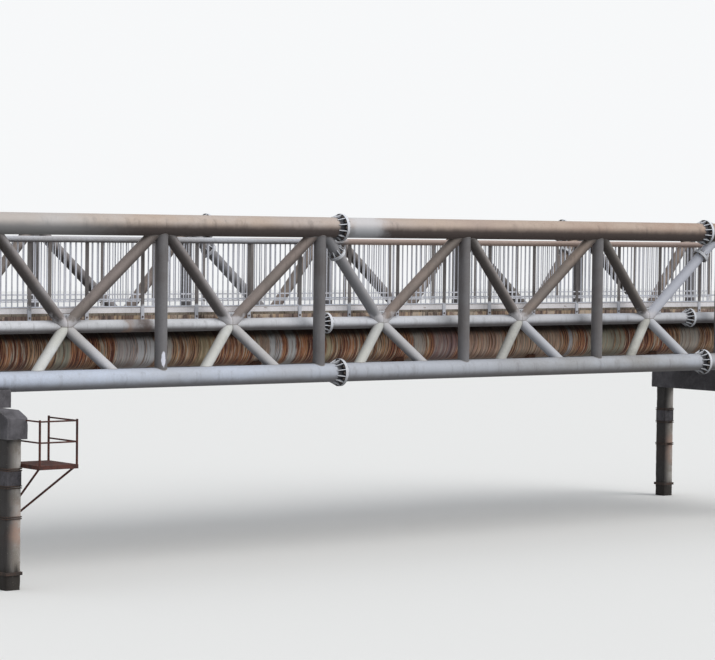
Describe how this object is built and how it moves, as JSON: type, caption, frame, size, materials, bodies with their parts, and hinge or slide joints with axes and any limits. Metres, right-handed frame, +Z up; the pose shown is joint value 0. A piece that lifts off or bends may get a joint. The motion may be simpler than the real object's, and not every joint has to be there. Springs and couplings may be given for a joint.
{
  "type": "pipe bridge",
  "caption": "Tubular steel truss bridge on pile bents, with a railed timber walkway above one large carried pipe and ribbed flange joints in its chords.",
  "frame": {"origin": "middle of the outline's underside, on the level where the piles meet the water; the bridge's own centre line lies 190 mm to the +Y side of it, because the service platform widens the outline on the -Y side", "axes": "+X along the bridge towards its right end as pictured, +Y across it towards the far side, +Z up"},
  "size_m": [19.4, 5.87, 5.4619],
  "materials": {
    "top_chord_paint": "pale grey paint, weathered and dirty underneath",
    "mid_chord_paint": "pale grey paint with rust stains",
    "bottom_chord_paint": "pale grey paint, weathered",
    "flange_paint": "grey paint, dirty in the pockets between the ribs",
    "vertical_paint": "dark grey weathered coating",
    "upper_diagonal_paint": "dark grey-brown weathered coating",
    "lower_diagonal_paint": "light grey weathered paint",
    "deck_timber": "grey weathered boards",
    "beam_paint": "grey paint, dirty",
    "edge_rust": "rusted steel with remains of paint",
    "kerb_paint": "pale paint, chipped",
    "handrail_paint": "pale grey paint, brown with rust in stretches",
    "post_paint": "dark weathered coating, pale at the foot",
    "infill_paint": "pale grey paint",
    "pipe_rust": "rusted steel, streaked round the pipe, with remains of grey paint",
    "saddle_rust": "rusted steel",
    "cap_concrete": "dark weathered concrete with pale worn edges",
    "pile_concrete": "pale concrete with water stains",
    "band_rust": "rusted steel band",
    "platform_rust": "dark red-brown rust"
  },
  "bodies": {
    "root": {"near_top_chord": "top_chord_paint", "near_mid_chord": "mid_chord_paint", "near_bottom_chord": "bottom_chord_paint", "near_chord_flanges": "flange_paint", "near_verticals": "vertical_paint", "near_rising_diagonals": "upper_diagonal_paint", "near_falling_diagonals": "upper_diagonal_paint", "near_lower_left_diagonals": "lower_diagonal_paint", "near_lower_right_diagonals": "lower_diagonal_paint", "near_diagonal_flanges": "flange_paint", "near_node_gussets": "flange_paint", "far_node_gussets": "flange_paint", "far_top_chord": "top_chord_paint", "far_mid_chord": "mid_chord_paint", "far_bottom_chord": "bottom_chord_paint", "far_chord_flanges": "flange_paint", "far_verticals": "vertical_paint", "far_rising_diagonals": "upper_diagonal_paint", "far_falling_diagonals": "upper_diagonal_paint", "far_lower_left_diagonals": "lower_diagonal_paint", "far_lower_right_diagonals": "lower_diagonal_paint", "far_diagonal_flanges": "flange_paint", "deck_boards": "deck_timber", "floor_beams": "beam_paint", "stringers": "beam_paint", "edge_channels": "edge_rust", "kerbs": "kerb_paint", "near_handrail": "handrail_paint", "far_handrail": "handrail_paint", "near_railing_posts": "post_paint", "far_railing_posts": "post_paint", "near_railing_infill": "infill_paint", "far_railing_infill": "infill_paint", "carried_pipe": "pipe_rust", "cross_beams": "beam_paint", "pipe_saddles": "saddle_rust", "left_cap_beam": "cap_concrete", "right_cap_beam": "cap_concrete", "left_piles": "pile_concrete", "right_piles": "pile_concrete", "pile_collars": "band_rust", "pile_clamps": "band_rust", "pile_sleeves": "band_rust", "bearing_blocks": "cap_concrete", "platform_floor": "platform_rust", "platform_guard_rail": "platform_rust", "platform_braces": "platform_rust"}
  },
  "joints": []
}
